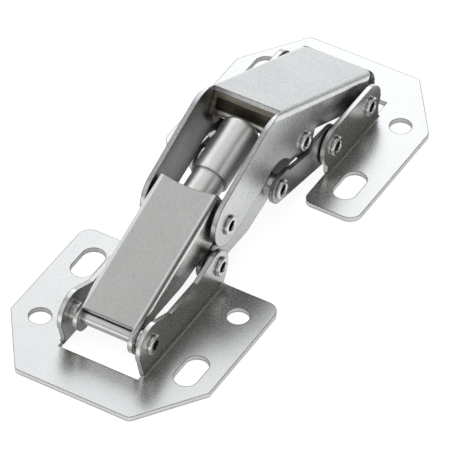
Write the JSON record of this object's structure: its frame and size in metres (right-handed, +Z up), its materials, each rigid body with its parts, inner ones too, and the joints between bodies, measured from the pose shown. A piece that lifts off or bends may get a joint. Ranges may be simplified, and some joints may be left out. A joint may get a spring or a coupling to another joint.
{
  "type": "cabinet hinge",
  "caption": "Surface-mounted concealed cabinet hinge: two flat steel plates joined by a folding linkage of channels and links, held by a spring plunger.",
  "frame": {"origin": "middle of the open hinge's length and width, on the mounting face", "axes": "+X from the near (cabinet) plate to the far (door) plate, +Y across the hinge, +Z up off the mounting face"},
  "size_m": [0.1254, 0.05, 0.0302],
  "materials": {
    "satin_sheet": "satin nickel plate on steel sheet",
    "bright_sheet": "bright nickel plate on steel sheet",
    "polished_barrel": "polished nickel plate",
    "plated_pins": "nickel plate on turned steel",
    "spring_wire": "drawn spring wire"
  },
  "bodies": {
    "near_plate_body": {"near_plate": "satin_sheet", "base_pin": "plated_pins", "base_collar_left": "plated_pins", "base_collar_right": "plated_pins", "link_rivet_left": "plated_pins", "link_rivet_right": "plated_pins", "link_collar_left": "plated_pins", "link_collar_right": "plated_pins"},
    "arm": {"box_arm": "satin_sheet"},
    "bridge_body": {"bridge": "bright_sheet", "arm_rivet_left": "plated_pins", "arm_rivet_right": "plated_pins", "arm_collar_left": "plated_pins", "arm_collar_right": "plated_pins", "bridge_rivet_left": "plated_pins", "bridge_rivet_right": "plated_pins", "bridge_collar_left": "plated_pins", "bridge_collar_right": "plated_pins", "thrust_pin": "plated_pins", "thrust_bracket": "bright_sheet"},
    "inner_links": {"inner_link_left": "bright_sheet", "inner_link_right": "bright_sheet", "joint_rivet_left": "plated_pins", "joint_rivet_right": "plated_pins", "joint_collar_left": "plated_pins", "joint_collar_right": "plated_pins"},
    "outer_links": {"outer_link_left": "bright_sheet", "outer_link_right": "bright_sheet"},
    "far_plate_body": {"far_plate": "satin_sheet", "near_ear_rivet_left": "plated_pins", "near_ear_rivet_right": "plated_pins", "near_ear_washer_left": "plated_pins", "near_ear_washer_right": "plated_pins", "far_ear_rivet_left": "plated_pins", "far_ear_rivet_right": "plated_pins", "far_ear_collar_left": "plated_pins", "far_ear_collar_right": "plated_pins"},
    "plunger_rod_body": {"plunger_rod": "plated_pins", "plunger_spring": "spring_wire"},
    "plunger_sleeve_body": {"plunger_sleeve": "polished_barrel", "plunger_skirt": "polished_barrel"}
  },
  "joints": [
    {"name": "arm_swing", "type": "hinge", "parent": "near_plate_body", "child": "arm", "pos_m": [-0.04668, 0, 0.00757], "axis": [0, -1, 0], "range_deg": [0, 99]},
    {"name": "bridge_swing", "type": "hinge", "parent": "arm", "child": "bridge_body", "pos_m": [-0.01362, 0, 0.01514], "axis": [0, -1, 0], "range_deg": [-88, 0]},
    {"name": "inner_link_swing", "type": "hinge", "parent": "bridge_body", "child": "inner_links", "pos_m": [0.01862, 0, 0.01437], "axis": [0, -1, 0], "range_deg": [0, 81.8]},
    {"name": "outer_link_swing", "type": "hinge", "parent": "inner_links", "child": "outer_links", "pos_m": [0.00641, 0, 0.0104], "axis": [0, -1, 0], "range_deg": [-100.4, 0]},
    {"name": "far_plate_swing", "type": "hinge", "parent": "bridge_body", "child": "far_plate_body", "pos_m": [0.04315, 0, 0.00705], "axis": [0, -1, 0], "range_deg": [0, 79]},
    {"name": "plunger_swing", "type": "hinge", "parent": "arm", "child": "plunger_rod_body", "pos_m": [-0.04668, 0, 0.00757], "axis": [0, -1, 0], "range_deg": [-35.1, 0]},
    {"name": "plunger_slide", "type": "slide", "parent": "plunger_rod_body", "child": "plunger_sleeve_body", "axis": [0.9665, 0, 0.2566], "range_m": [-0.0142, 0], "deforming": ["plunger_spring"]}
  ],
  "couplings": [
    {"joint": "bridge_swing", "follows": "arm_swing", "ratio": -0.88816},
    {"joint": "inner_link_swing", "follows": "arm_swing", "ratio": 0.82572},
    {"joint": "outer_link_swing", "follows": "arm_swing", "ratio": -1.0133},
    {"joint": "far_plate_swing", "follows": "arm_swing", "ratio": 0.79725},
    {"joint": "plunger_swing", "follows": "arm_swing", "ratio": -0.35358},
    {"joint": "plunger_slide", "follows": "arm_swing", "m_per_rad": -0.0081511}
  ]
}
